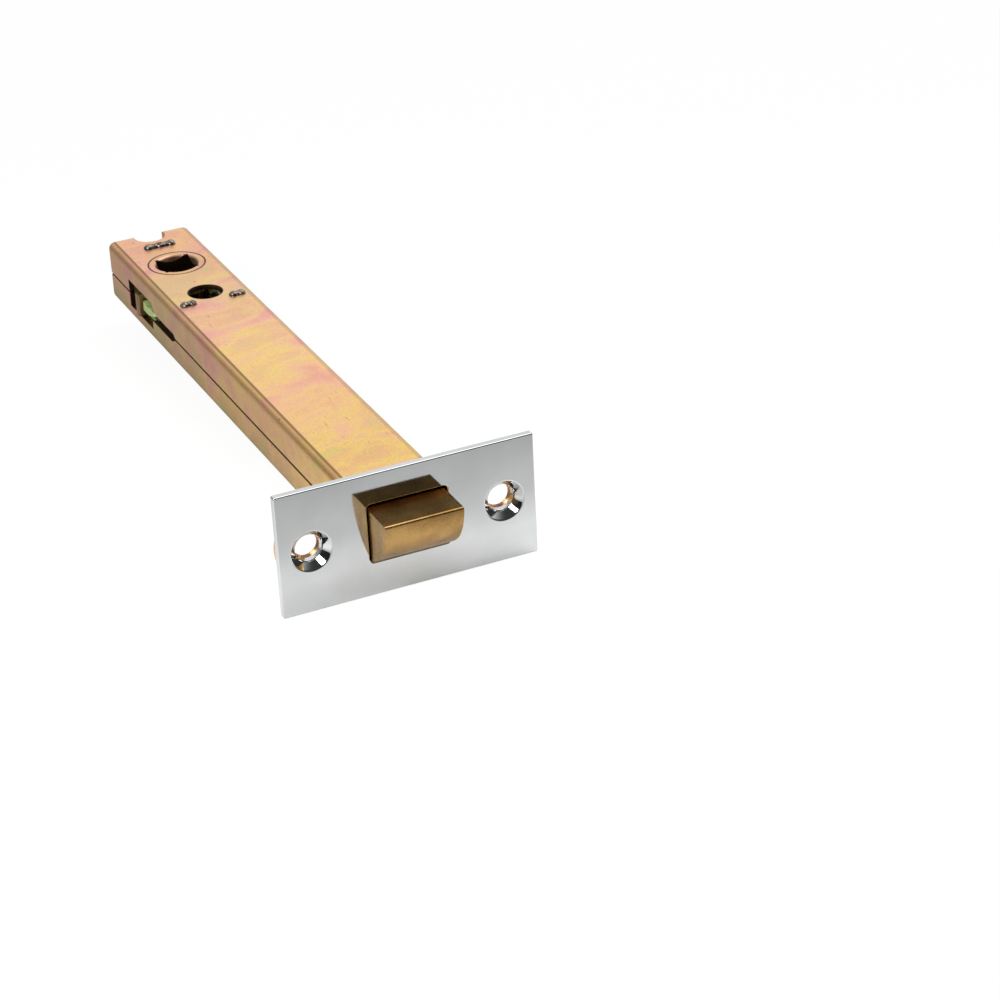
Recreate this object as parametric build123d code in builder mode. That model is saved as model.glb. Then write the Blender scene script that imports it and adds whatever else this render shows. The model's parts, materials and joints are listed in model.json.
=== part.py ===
from build123d import *
import os
from math import cos, pi, sin

# Tubular door latch, in millimetres.
# Origin: centre of the forend's outer face, on the latch bolt's axis.
# +X runs out of the forend along the bolt, +Y along the forend's long side, +Z along the spindle.

# Setting-out sizes that fix the latch to a door and its furniture
backset = 133.0
bolt_through_pitch = 38.0
bolt_through_radius = 4.0
spindle_square = 8.1
screw_margin = 7.0
screw_hole_radius = 2.8

# Forend
forend_length = 56.0
forend_width = 27.0
forend_thickness = 1.5
forend_corner = 0.8
forend_edge = 0.3
opening_corner = 1.0
opening_rise = 0.35
dish_sheet = 1.2
dish_rim_radius = 4.4
dish_depth = 1.75
dish_rim_break = 0.3
backing_margin = 0.5
backing_width = 18.0
backing_thickness = 2.5
dish_clearance = 0.15

# Case: two folded shells that meet at a seam on the long sides
case_width = 20.0
case_height = 14.3
sheet = 1.2
fold_radius = 1.6
case_tail = 21.0
seam_level = -0.6
seam_gap = 0.12
seam_break = 0.35
tail_corner = 1.4
relief_slit = 0.3
tail_notch_radius = 3.7
tail_notch_lip = 0.7
front_tab_width = 3.4
front_tab_inset = 1.6
tab_clearance = 0.1

# Openings in the long sides for the follower's arms and the spring slides
window_rear = 7.0
window_front = 8.9
window_top = 2.75
window_bottom = -4.0
window_slope = 2.7
slot_half_height = 1.2
slot_reach = 24.8
slot_point = 1.4

# Follower
boss_radius = 6.6
boss_clearance = 0.1
leadin_radius = 5.25
leadin_depth = 1.3
core_width = 10.4
core_corner_radius = 6.0
arm_proud = 0.7
arm_thickness = 1.9
arm_top = 1.7
arm_bottom = -3.7
arm_tip_round = 0.5
collar_radius = 7.4
collar_gap = 0.2

# Motion
bolt_projection = 8.4
bolt_travel = 8.4
arm_play = 0.75

# Latch bolt
bolt_side_gap = 0.3
bolt_height = 11.5
bolt_length = 34.4
bolt_nose_drop = 0.85
bolt_bulge_x = 6.2
bolt_bulge_z = -1.0
bolt_edge = 0.25
pin_radius = 1.5
pin_clearance = 0.03
pin_set_back = 17.5
pin_depth = 4.5
spring_seat_depth = 2.0
spring_seat_gap = 0.2

# Drawbar and retractor, stamped from the same strip
strip = 1.6
strip_lift = 0.1
strip_side_gap = 0.2
drawbar_width = 10.0
drawbar_nose = 4.0
slot_play = 0.1
tee_width = 11.0
tee_length = 4.0
tee_neck = 6.8
tee_shoulder = 4.0
tee_clearance = 0.1
fork_bridge = 3.8
fork_slot_half = 4.5
boss_to_fork = 0.25
hook_root = 0.75
hook_width = 2.05
hook_top = 1.4
hook_shoulder = -3.5
hook_fold = 0.8

# Spacers that clamp the two shells together
spacer_thickness = 1.6
front_spacer_offset = 24.0
front_spacer_inset = 0.2
front_tab_to_wall = 2.9
front_tab_length = 3.4
front_foot_half = 4.2
front_foot_tab = 6.0
rear_spacer_thickness = 1.8
rear_spacer_offset = 11.8
rear_spacer_gap = 0.4
rear_tab_length = 7.3
bead_height = 0.6
bead_overhang = 0.12
bead_break = 0.3
bead_facets = 10

# Spring slides that bear on the follower's arms
slide_length = 4.5
slide_width = 2.95
slide_gap = 0.25
slide_bottom = -3.5
slide_round = 0.9
slide_relief = 0.7
relief_angle = 70 * pi / 180
ear_length = 9.0
ear_gap = 0.2
ear_set_in = 0.1
ear_nose_height = 0.6
peg_radius = 1.0
peg_length = 3.0

# Coil springs
bolt_spring_radius = 3.8
bolt_spring_wire = 0.45
bolt_spring_turns = 16
bolt_spring_level = 0.6
follower_spring_radius = 1.5
follower_spring_wire = 0.4
follower_spring_turns = 9
follower_spring_to_wall = 2.4
follower_spring_level = -1.0
wire_sides = 4
turn_segments = 10

# Places worked out from the sizes above
half_width = case_width / 2
half_height = case_height / 2
inner_width = half_width - sheet
inner_height = half_height - sheet
backing_front = -forend_thickness
case_front = backing_front - backing_thickness
case_end = -backset - case_tail
spindle_x = -backset
through_hole_x = spindle_x + bolt_through_pitch / 2
tail_notch_x = spindle_x - bolt_through_pitch / 2
slot_top = seam_level + slot_half_height
slot_bottom = seam_level - slot_half_height
sides = (-1, 1)
screw_pitch = forend_length - 2 * screw_margin
backing_length = forend_length - 2 * backing_margin
bolt_width = 2 * (inner_width - bolt_side_gap)
arm_reach = half_width + arm_proud
front_tab_span = inner_width - front_tab_to_wall
slide_outer = inner_width - slide_gap
slide_inner = slide_outer - slide_width
follower_spring_side = inner_width - follower_spring_to_wall
boss_slot_half = boss_radius + boss_to_fork
hook_outer = boss_slot_half + hook_root
hook_inner = hook_outer - hook_width
strip_bottom = -inner_height + strip_lift
strip_top = strip_bottom + strip
bolt_top = bolt_height / 2
bolt_rear = bolt_projection - bolt_length
pin_x = -pin_set_back
front_spacer_x = spindle_x + front_spacer_offset
front_spacer_front = front_spacer_x + spacer_thickness / 2
front_spacer_rear = front_spacer_x - spacer_thickness / 2
rear_spacer_x = spindle_x - rear_spacer_offset
hook_front = spindle_x - arm_thickness / 2 - arm_play
hook_rear = hook_front - strip
slide_rear = spindle_x + arm_thickness / 2 + arm_play
slide_front = slide_rear + slide_length
fork_slot_front = front_spacer_front + bolt_travel + 3 * boss_to_fork
fork_front = fork_slot_front + fork_bridge + tee_length + tee_shoulder
strip_half_width = inner_width - strip_side_gap
os.makedirs("parts", exist_ok=True)

# Window outline on one long side, in X and Z: a tall window at the follower and a long slot before it
side_opening = [
    (spindle_x - window_rear, window_bottom),
    (spindle_x + window_front, window_bottom),
    (spindle_x + window_front, slot_bottom),
    (spindle_x + slot_reach - 2 * slot_point, slot_bottom),
    (spindle_x + slot_reach, seam_level),
    (spindle_x + slot_reach - slot_point, slot_top),
    (spindle_x + window_front + window_slope, slot_top),
    (spindle_x + window_front, window_top),
    (spindle_x - window_rear, window_top),
]


def make_shell(seam, face, tab_low, tab_high):
    """One folded half of the case, from its seam to its outer face, with tabs at the front."""
    middle = (seam + face) / 2
    height = abs(face - seam)
    outward = 1 if face > seam else -1
    wall_middle = (seam + face - outward * sheet) / 2
    cavity_height = height - sheet
    body_length = case_front - case_end
    with BuildPart() as shell:
        with Locations(((case_front + case_end) / 2, 0, middle)):
            Box(body_length, case_width, height)
        upright = shell.edges().filter_by(Axis.Z).group_by(Axis.X)[0]
        fillet(upright, tail_corner)
        face_edges = shell.faces().sort_by(Axis.Z)[-1 if outward > 0 else 0].edges()
        front_edge = face_edges.sort_by(Axis.X)[-1]
        fillet([edge for edge in face_edges if edge != front_edge], fold_radius * 0.99)
        seam_edges = shell.faces().sort_by(Axis.Z)[0 if outward > 0 else -1].edges()
        open_edge = seam_edges.sort_by(Axis.X)[-1]
        chamfer([edge for edge in seam_edges if edge != open_edge], seam_break)
        # Hollow inside, with the inner fold radius left along the long edges
        with BuildSketch(Plane.YZ.offset(case_end + sheet)):
            with Locations((0, wall_middle)):
                Rectangle(2 * inner_width, cavity_height)
        extrude(amount=case_front - case_end, mode=Mode.SUBTRACT)
        with BuildSketch(Plane.YZ.offset(case_end + sheet)):
            for side in sides:
                corner_y = side * inner_width
                corner_z = face - outward * sheet
                with BuildLine():
                    radius = fold_radius - sheet
                    Line((corner_y, corner_z), (corner_y - side * radius, corner_z))
                    RadiusArc(
                        (corner_y - side * radius, corner_z),
                        (corner_y, corner_z - outward * radius),
                        radius * side * outward,
                    )
                    Line((corner_y, corner_z - outward * radius), (corner_y, corner_z))
                make_face()
        extrude(amount=body_length - sheet)
        # Relief slits part the tail flange from the side walls
        for side in sides:
            with Locations((case_end, side * (inner_width - relief_slit / 2), middle)):
                Box(2 * sheet, relief_slit, height - 2 * fold_radius, mode=Mode.SUBTRACT)
        # Holes on the spindle line
        with BuildSketch(Plane.XY.offset(face)):
            with Locations((spindle_x, 0)):
                Circle(boss_radius + boss_clearance)
            with Locations((through_hole_x, 0)):
                Circle(bolt_through_radius)
        extrude(amount=-outward * 2 * sheet, mode=Mode.SUBTRACT)
        # Half-open notch at the tail, its lips rounded where it meets the end
        with BuildSketch(Plane.XY.offset(face)) as notch:
            with Locations((tail_notch_x, 0)):
                Circle(tail_notch_radius)
            with Locations((case_end - tail_notch_radius, 0)):
                Rectangle(2 * tail_notch_radius, 2 * (tail_notch_radius + tail_notch_lip))
            lips = notch.vertices().group_by(Axis.X)[-1]
            fillet(lips.sort_by(lambda vertex: abs(vertex.Y))[:2], tail_notch_lip)
        extrude(amount=-outward * 2 * height, mode=Mode.SUBTRACT)
        # Window and slot in both long sides
        with BuildSketch(Plane.XZ):
            with BuildLine():
                Polyline(*side_opening, close=True)
            make_face()
        extrude(amount=half_width + sheet, both=True, mode=Mode.SUBTRACT)
        # Tabs that pass through the backing plate
        tab_x = (case_front + backing_front) / 2
        for side in sides:
            with Locations((tab_x, side * (half_width - sheet / 2), (tab_low + tab_high) / 2)):
                Box(backing_thickness, sheet, tab_high - tab_low)
    return shell


front_tab_end = front_tab_inset + front_tab_width
with BuildPart() as upper_case:
    add(make_shell(seam_level + seam_gap / 2, half_height, front_tab_inset, front_tab_end).part)
    with BuildSketch(Plane.XY.offset(half_height)):
        with Locations((front_spacer_x, -front_tab_span), (front_spacer_x, front_tab_span)):
            Rectangle(spacer_thickness + 2 * tab_clearance, front_tab_length + 2 * tab_clearance)
        with Locations((rear_spacer_x, 0)):
            Rectangle(rear_spacer_thickness + 2 * tab_clearance, rear_tab_length + 2 * tab_clearance)
    extrude(amount=-2 * sheet, mode=Mode.SUBTRACT)
upper_case.part.label = "upper_case"

with BuildPart() as lower_case:
    add(make_shell(seam_level - seam_gap / 2, -half_height, -front_tab_end, -front_tab_inset).part)
    with BuildSketch(Plane.XY.offset(-half_height)):
        with Locations((front_spacer_x, 0)):
            Rectangle(spacer_thickness + 2 * tab_clearance, front_foot_tab + 2 * tab_clearance)
        with Locations((rear_spacer_x, 0)):
            Rectangle(rear_spacer_thickness + 2 * tab_clearance, rear_tab_length + 2 * tab_clearance)
    extrude(amount=2 * sheet, mode=Mode.SUBTRACT)
lower_case.part.label = "lower_case"

# Forend: a thin plate with a rectangular opening and two dished screw holes
opening_width = 2 * inner_width
opening_height = bolt_height + 2 * (inner_height - bolt_top) + 1.1
dish_slant = (dish_rim_radius - screw_hole_radius) / dish_depth
dish_offset = dish_sheet * (1 + dish_slant**2) ** 0.5
dish_lip_x = -dish_depth - dish_sheet
dish_lip_radius = dish_rim_radius + dish_slant * (dish_lip_x + dish_offset / dish_slant)
dish_back_radius = dish_rim_radius + dish_slant * (backing_front + dish_offset / dish_slant)

with BuildPart() as forend_plate:
    with BuildSketch(Plane.YZ.offset(backing_front)):
        RectangleRounded(forend_length, forend_width, forend_corner)
        with Locations((0, opening_rise)):
            RectangleRounded(opening_width, opening_height, opening_corner, mode=Mode.SUBTRACT)
        with Locations((-screw_pitch / 2, 0), (screw_pitch / 2, 0)):
            Circle(dish_back_radius, mode=Mode.SUBTRACT)
    extrude(amount=forend_thickness)
    outline = forend_plate.faces().sort_by(Axis.X)[-1].outer_wire().edges()
    chamfer(outline, forend_edge)
    for place in (-screw_pitch / 2, screw_pitch / 2):
        with BuildSketch(Plane.XY):
            with BuildLine():
                Polyline(
                    (0, place + dish_back_radius),
                    (0, place + dish_rim_radius),
                    (-dish_depth, place + screw_hole_radius),
                    (dish_lip_x, place + screw_hole_radius),
                    (dish_lip_x, place + dish_lip_radius),
                    (backing_front, place + dish_back_radius),
                    close=True,
                )
            make_face()
        revolve(axis=Axis((0, place, 0), (1, 0, 0)))
    rims = forend_plate.edges().filter_by(GeomType.CIRCLE)
    rims = [e for e in rims if abs(e.radius - dish_rim_radius) < 1e-3 and abs(e.center().X) < 1e-3]
    chamfer(rims, dish_rim_break)
forend_plate.part.label = "forend_plate"

# Backing plate that carries the case, with countersinks under the dished holes
with BuildPart() as inner_forend:
    with BuildSketch(Plane.YZ.offset(case_front)):
        SlotOverall(backing_length, backing_width)
        Rectangle(opening_width, 2 * inner_height + 2 * tab_clearance, mode=Mode.SUBTRACT)
        tab_middle = front_tab_inset + front_tab_width / 2
        with GridLocations(case_width - sheet, 2 * tab_middle, 2, 2):
            Rectangle(sheet + 2 * tab_clearance, front_tab_width + 2 * tab_clearance, mode=Mode.SUBTRACT)
    extrude(amount=backing_thickness)
    for place in (-screw_pitch / 2, screw_pitch / 2):
        seat = dish_back_radius + dish_clearance
        throat = seat - dish_slant * backing_thickness
        with BuildSketch(Plane.XY):
            with BuildLine():
                Polyline(
                    (backing_front, place),
                    (backing_front, place + seat),
                    (case_front, place + throat),
                    (case_front, place),
                    close=True,
                )
            make_face()
        revolve(axis=Axis((0, place, 0), (1, 0, 0)), mode=Mode.SUBTRACT)
inner_forend.part.label = "inner_forend"

# Follower: two bosses, a collar, a squared core and two arms, with the spindle hole through them
with BuildPart() as follower:
    for boss_base, boss_top in ((-half_height, arm_bottom), (arm_top, half_height)):
        with BuildSketch(Plane.XY.offset(boss_base)):
            with Locations((spindle_x, 0)):
                Circle(boss_radius)
        extrude(amount=boss_top - boss_base)
    with BuildSketch(Plane.XY.offset(arm_bottom)):
        with Locations((spindle_x, 0)):
            Circle(core_corner_radius)
            Rectangle(core_width, core_width, mode=Mode.INTERSECT)
            Rectangle(arm_thickness, 2 * arm_reach)
    extrude(amount=arm_top - arm_bottom)
    tips = follower.edges().filter_by(Axis.Z).group_by(lambda edge: round(abs(edge.center().Y), 2))[-1]
    fillet(tips, arm_tip_round)
    with BuildSketch(Plane.XY.offset(arm_top)):
        with Locations((spindle_x, 0)):
            Circle(collar_radius)
    extrude(amount=inner_height - collar_gap - arm_top)
    with BuildSketch(Plane.XY.offset(-half_height)):
        with Locations((spindle_x, 0)):
            Rectangle(spindle_square, spindle_square)
    extrude(amount=case_height, mode=Mode.SUBTRACT)
    for mouth in (Plane.XY.offset(half_height), Plane.XY.offset(-half_height).rotated((180, 0, 0))):
        with BuildSketch(mouth):
            with Locations(mouth.to_local_coords(Vector(spindle_x, 0, mouth.origin.Z))):
                Circle(leadin_radius)
        extrude(amount=-leadin_depth, taper=45, mode=Mode.SUBTRACT)
follower.part.label = "follower"

# Retractor: a stamped fork on the case floor, with a hook folded up behind each arm
boss_slot_front = spindle_x + boss_slot_half + bolt_travel
with BuildPart() as retractor:
    with BuildSketch(Plane.XY.offset(strip_bottom)):
        with Locations(((hook_rear + fork_front) / 2, 0)):
            Rectangle(fork_front - hook_rear, 2 * strip_half_width)
        with Locations(((hook_rear + boss_slot_front) / 2 - boss_slot_half, 0)):
            Rectangle(boss_slot_front - hook_rear, 2 * boss_slot_half, mode=Mode.SUBTRACT)
        with Locations((boss_slot_front - boss_slot_half, 0)):
            Circle(boss_slot_half, mode=Mode.SUBTRACT)
        with Locations(((spindle_x + fork_slot_front) / 2, 0)):
            Rectangle(fork_slot_front - spindle_x, 2 * fork_slot_half, mode=Mode.SUBTRACT)
        with Locations((fork_front - tee_shoulder - tee_length / 2, 0)):
            Rectangle(tee_length + 2 * tee_clearance, tee_width + 2 * tee_clearance, mode=Mode.SUBTRACT)
        with Locations((fork_front - tee_shoulder / 2, 0)):
            Rectangle(tee_shoulder + 2 * tee_clearance, tee_neck + 2 * tee_clearance, mode=Mode.SUBTRACT)
    extrude(amount=strip)
    for side in sides:
        foot_y = side * (boss_slot_half + strip_half_width) / 2
        with BuildSketch(Plane.YZ.offset(hook_rear)):
            with Locations((foot_y, (strip_bottom + hook_shoulder) / 2)):
                Rectangle(strip_half_width - boss_slot_half, hook_shoulder - strip_bottom)
            with Locations((side * (hook_inner + hook_outer) / 2, (hook_shoulder + hook_top) / 2)):
                Rectangle(hook_width, hook_top - hook_shoulder)
        extrude(amount=strip)
    heel = retractor.edges().filter_by(Axis.Y).group_by(Axis.X)[0].group_by(Axis.Z)[0]
    fillet(heel, hook_fold)
retractor.part.label = "retractor"

# Drawbar: a strip from the retractor's tee slot to the bolt, with a lost-motion slot for the bolt pin
drawbar_front = pin_x + drawbar_nose
pin_slot_front = pin_x + pin_radius + slot_play
pin_slot_rear = pin_x - bolt_travel - pin_radius - slot_play
tee_rear = fork_front - tee_shoulder - tee_length
with BuildPart() as drawbar:
    with BuildSketch(Plane.XY.offset(strip_bottom)):
        with Locations((tee_rear + tee_length / 2, 0)):
            Rectangle(tee_length, tee_width)
        with Locations((fork_front - tee_shoulder / 2, 0)):
            Rectangle(tee_shoulder + 4 * tee_clearance, tee_neck)
        with Locations(((fork_front + drawbar_front) / 2 + tee_clearance, 0)):
            Rectangle(drawbar_front - fork_front - 2 * tee_clearance, drawbar_width)
    extrude(amount=strip)
    nose = drawbar.edges().filter_by(Axis.Z).group_by(Axis.X)[-1]
    fillet(nose, drawbar_width / 4)
    with BuildSketch(Plane.XY.offset(strip_bottom)):
        with Locations(((pin_slot_front + pin_slot_rear) / 2, 0)):
            SlotOverall(pin_slot_front - pin_slot_rear, 2 * (pin_radius + slot_play))
    extrude(amount=strip, mode=Mode.SUBTRACT)
drawbar.part.label = "drawbar"

# Latch bolt: flat above, curved away below the nose, grooved underneath for the drawbar
groove_half = drawbar_width / 2 + 3 * tee_clearance
groove_front = drawbar_front + bolt_travel + 3 * tee_clearance
with BuildPart() as latch_bolt:
    with BuildSketch(Plane.XZ):
        with BuildLine():
            Polyline(
                (0, -bolt_top),
                (bolt_rear, -bolt_top),
                (bolt_rear, bolt_top),
                (bolt_projection, bolt_top),
                (bolt_projection, bolt_top - bolt_nose_drop),
            )
            ThreePointArc(
                (bolt_projection, bolt_top - bolt_nose_drop),
                (bolt_bulge_x, bolt_bulge_z),
                (0, -bolt_top),
            )
        make_face()
    extrude(amount=bolt_width / 2, both=True)
    nose_edge = latch_bolt.edges().filter_by(Axis.Y).sort_by(lambda e: e.center().X + e.center().Z)[-1]
    fillet(nose_edge, 2 * bolt_edge)
    groove_top = strip_top + tee_clearance
    with Locations(((bolt_rear + groove_front) / 2, 0, (groove_top - inner_height) / 2)):
        Box(groove_front - bolt_rear, 2 * groove_half, groove_top + inner_height, mode=Mode.SUBTRACT)
    with BuildSketch(Plane.YZ.offset(bolt_rear)):
        with Locations((0, bolt_spring_level)):
            Circle(bolt_spring_radius + bolt_spring_wire + spring_seat_gap)
    extrude(amount=spring_seat_depth, mode=Mode.SUBTRACT)
    with BuildSketch(Plane.XY.offset(strip_top)):
        with Locations((pin_x, 0)):
            Circle(pin_radius + pin_clearance)
    extrude(amount=pin_depth, mode=Mode.SUBTRACT)
latch_bolt.part.label = "latch_bolt"

with BuildPart() as bolt_pin:
    pin_bottom = strip_bottom + tee_clearance
    pin_top = strip_top + pin_depth - tee_clearance
    with Locations((pin_x, 0, (pin_bottom + pin_top) / 2)):
        Cylinder(pin_radius, pin_top - pin_bottom)
bolt_pin.part.label = "bolt_pin"


def stake(x, length, thickness, beads, face):
    """Staked heads on a tab that comes through a shell: a row of rounded beads on its outer face."""
    outward = 1 if face > 0 else -1
    bead_radius = thickness / 2 + bead_overhang
    pitch = (length - thickness) / (beads - 1)
    with BuildPart() as heads:
        with BuildSketch(Plane.XY.offset(face)):
            with Locations((x, 0)):
                with GridLocations(0, pitch, 1, beads):
                    RegularPolygon(bead_radius, bead_facets)
        extrude(amount=outward * bead_height)
        crowns = heads.faces().group_by(Axis.Z)[-1 if outward > 0 else 0]
        chamfer(crowns.edges(), bead_break)
    return heads.part


front_beads = stake(front_spacer_x, front_tab_length, spacer_thickness, 2, half_height)
foot_beads = stake(front_spacer_x, front_foot_tab, spacer_thickness, 3, -half_height)
rear_beads = stake(rear_spacer_x, rear_tab_length, rear_spacer_thickness, 3, half_height)
rear_foot_beads = stake(rear_spacer_x, rear_tab_length, rear_spacer_thickness, 3, -half_height)

# Front spacer: clamps the shells, stops the bolt spring and the follower springs
with BuildPart() as front_spacer:
    wing_bottom = strip_top + tee_clearance + strip_lift
    wing_tip = inner_width - front_spacer_inset
    with BuildSketch(Plane.YZ.offset(front_spacer_rear)):
        with BuildLine():
            Polyline(
                (-wing_tip, wing_bottom),
                (-wing_tip, inner_height - fold_radius + sheet),
                (-wing_tip + fold_radius - sheet, inner_height),
                (wing_tip - fold_radius + sheet, inner_height),
                (wing_tip, inner_height - fold_radius + sheet),
                (wing_tip, wing_bottom),
                close=True,
            )
        make_face()
        with Locations((0, (wing_bottom - inner_height) / 2)):
            Rectangle(2 * front_foot_half, wing_bottom + inner_height)
        with Locations((0, inner_height + sheet / 2)):
            with GridLocations(2 * front_tab_span, 0, 2, 1):
                Rectangle(front_tab_length, sheet)
        with Locations((0, -inner_height - sheet / 2)):
            Rectangle(front_foot_tab, sheet)
    extrude(amount=spacer_thickness)
    with Locations((0, -front_tab_span, 0), (0, front_tab_span, 0)):
        add(front_beads)
    add(foot_beads)
front_spacer.part.label = "front_spacer"

# Rear spacer: a plain bar between the shells, staked at both ends
with BuildPart() as rear_spacer:
    with BuildSketch(Plane.YZ.offset(rear_spacer_x - rear_spacer_thickness / 2)):
        Rectangle(2 * (hook_inner - rear_spacer_gap), 2 * inner_height)
        Rectangle(rear_tab_length, case_height)
    extrude(amount=rear_spacer_thickness)
    add(rear_beads)
    add(rear_foot_beads)
rear_spacer.part.label = "rear_spacer"


# The slides' inner rear corners are cut straight, to clear the follower's core as it turns
relief_reach = core_corner_radius + slide_relief
relief_run = (relief_reach - slide_inner * sin(relief_angle)) / cos(relief_angle) - (slide_rear - spindle_x)
relief_rise = (relief_reach - (slide_rear - spindle_x) * cos(relief_angle)) / sin(relief_angle) - slide_inner


def make_slide(side):
    """Spring slide on one side: a block that bears on an arm, an ear in the case slot and a spring peg."""
    ear_tip = half_width - ear_set_in
    ear_top = slot_top - ear_gap
    ear_bottom = slot_bottom + ear_gap
    with BuildPart() as slide:
        with BuildSketch(Plane.XY.offset(slide_bottom)):
            with Locations(((slide_rear + slide_front) / 2, side * (slide_inner + slide_outer) / 2)):
                Rectangle(slide_length, slide_width)
            corner = slide_inner * side
            with BuildLine():
                Polyline(
                    (slide_rear, corner),
                    (slide_rear, corner + side * relief_rise),
                    (slide_rear + relief_run, corner),
                    close=True,
                )
            make_face(mode=Mode.SUBTRACT)
        extrude(amount=ear_top - slide_bottom)
        # The ear tapers to a blunt nose in front
        with BuildSketch(Plane.XZ.offset(-side * ear_tip)):
            with BuildLine():
                Polyline(
                    (slide_rear, ear_bottom),
                    (slide_rear, ear_top),
                    (slide_rear + ear_length, ear_top),
                    (slide_rear + ear_length, ear_top - ear_nose_height),
                    (slide_front, ear_bottom),
                    close=True,
                )
            make_face()
        extrude(amount=side * (ear_tip - slide_outer))
        rounded = slide.edges().filter_by(Axis.Z).group_by(lambda edge: round(abs(edge.center().Y), 2))[-1]
        fillet(rounded, slide_round)
        with BuildSketch(Plane.YZ.offset(slide_front)):
            with Locations((side * follower_spring_side, follower_spring_level)):
                Circle(peg_radius)
        extrude(amount=peg_length)
    return slide.part


with BuildPart() as left_spring_slide:
    add(make_slide(-1))
left_spring_slide.part.label = "left_spring_slide"

with BuildPart() as right_spring_slide:
    add(make_slide(1))
right_spring_slide.part.label = "right_spring_slide"


def make_spring(start, end, y, z, radius, wire, turns):
    """Compression spring along X with a closed turn at each end, its wire drawn as short straight lengths."""
    closed_pitch = 2.1 * wire
    open_pitch = (end - start - 2 * wire - 2 * closed_pitch) / (turns - 2)
    points = []
    for step in range(turns * turn_segments + 1):
        turn = step / turn_segments
        closed = min(turn, 1) + max(turn - turns + 1, 0)
        x = start + wire + closed * closed_pitch + (turn - closed) * open_pitch
        points.append((x, y + radius * cos(2 * pi * turn), z + radius * sin(2 * pi * turn)))
    with BuildPart() as spring:
        with BuildLine() as path:
            Polyline(*points)
        with BuildSketch(Plane(origin=path.line @ 0, z_dir=path.line % 0)):
            RegularPolygon(wire, wire_sides)
        sweep(path=path.wires()[0], transition=Transition.RIGHT)
    return spring.part


with BuildPart() as bolt_spring:
    add(make_spring(front_spacer_front, bolt_rear + spring_seat_depth, 0, bolt_spring_level,
                    bolt_spring_radius, bolt_spring_wire, bolt_spring_turns))
bolt_spring.part.label = "bolt_spring"

with BuildPart() as left_follower_spring:
    add(make_spring(slide_front, front_spacer_rear, -follower_spring_side, follower_spring_level,
                    follower_spring_radius, follower_spring_wire, follower_spring_turns))
left_follower_spring.part.label = "left_follower_spring"

with BuildPart() as right_follower_spring:
    add(make_spring(slide_front, front_spacer_rear, follower_spring_side, follower_spring_level,
                    follower_spring_radius, follower_spring_wire, follower_spring_turns))
right_follower_spring.part.label = "right_follower_spring"

pieces = (
    upper_case, lower_case, forend_plate, inner_forend, front_spacer, rear_spacer,
    follower, retractor, drawbar, latch_bolt, bolt_pin,
    left_spring_slide, right_spring_slide, bolt_spring, left_follower_spring, right_follower_spring,
)
for piece in pieces:
    export_step(piece.part, f"parts/{piece.part.label}.step")
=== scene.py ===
"""Looks of the tubular door latch: finishes, smooth pressed and staked parts, round wire springs and the studio.

Sizes are in metres, except inside Forend, which draws in millimetres. +X runs out of the forend along the bolt, +Y
along the forend's long side, +Z along the spindle, and the origin is the centre of the forend's outer face.
"""

import json
import logging
import math
from contextlib import contextmanager
from dataclasses import dataclass, field
from enum import Enum
from typing import Any, Callable, Iterator, Optional, Protocol

import bpy
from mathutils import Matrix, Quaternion, Vector


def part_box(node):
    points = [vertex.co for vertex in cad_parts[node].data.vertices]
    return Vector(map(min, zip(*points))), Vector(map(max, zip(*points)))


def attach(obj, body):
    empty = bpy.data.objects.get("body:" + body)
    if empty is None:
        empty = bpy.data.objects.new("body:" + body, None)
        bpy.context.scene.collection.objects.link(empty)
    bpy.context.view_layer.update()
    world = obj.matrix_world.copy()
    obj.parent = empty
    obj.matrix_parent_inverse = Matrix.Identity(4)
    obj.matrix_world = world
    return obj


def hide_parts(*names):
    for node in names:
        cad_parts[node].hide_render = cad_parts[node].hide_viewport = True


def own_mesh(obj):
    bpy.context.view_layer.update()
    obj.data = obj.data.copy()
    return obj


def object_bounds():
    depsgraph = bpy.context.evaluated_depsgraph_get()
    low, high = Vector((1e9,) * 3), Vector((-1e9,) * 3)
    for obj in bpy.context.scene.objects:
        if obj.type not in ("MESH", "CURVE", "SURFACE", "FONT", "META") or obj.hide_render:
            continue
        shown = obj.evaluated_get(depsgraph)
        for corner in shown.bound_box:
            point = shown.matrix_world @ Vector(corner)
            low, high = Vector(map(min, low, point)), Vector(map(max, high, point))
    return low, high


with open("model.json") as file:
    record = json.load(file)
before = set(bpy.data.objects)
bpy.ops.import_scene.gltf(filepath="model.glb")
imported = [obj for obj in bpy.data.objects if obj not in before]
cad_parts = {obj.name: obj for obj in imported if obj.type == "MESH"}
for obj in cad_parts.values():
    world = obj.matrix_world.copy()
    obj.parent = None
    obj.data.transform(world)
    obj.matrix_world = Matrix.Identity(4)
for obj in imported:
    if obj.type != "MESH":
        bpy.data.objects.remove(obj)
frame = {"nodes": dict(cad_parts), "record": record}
CAD_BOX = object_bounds()

Piece = bpy.types.Object
Material = bpy.types.Material
Node = bpy.types.Node
Socket = bpy.types.NodeSocket
Stops = tuple[tuple[float, str], ...]
Triple = tuple[float, float, float]

MM = 0.001
UPRIGHT = (0.0, math.pi / 2, 0.0)
TAIL = -0.154
TRAVEL = 0.0084
SHEET_EDGE = 0.00012
STAMPED_EDGE = 0.0001
ROUND_ANGLE = math.radians(50.0)
GRAIN_SPAN = (0.3, 0.7)
GLOSS_SPREAD = (-0.05, 0.08)

log = logging.getLogger("latch")


class Side(Enum):
    """The two long sides of the case, by the sign of Y."""

    LEFT = -1
    RIGHT = 1


class Domain(Enum):
    """What a selection in edit mode is made of."""

    EDGE = "EDGE"
    FACE = "FACE"


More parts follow.
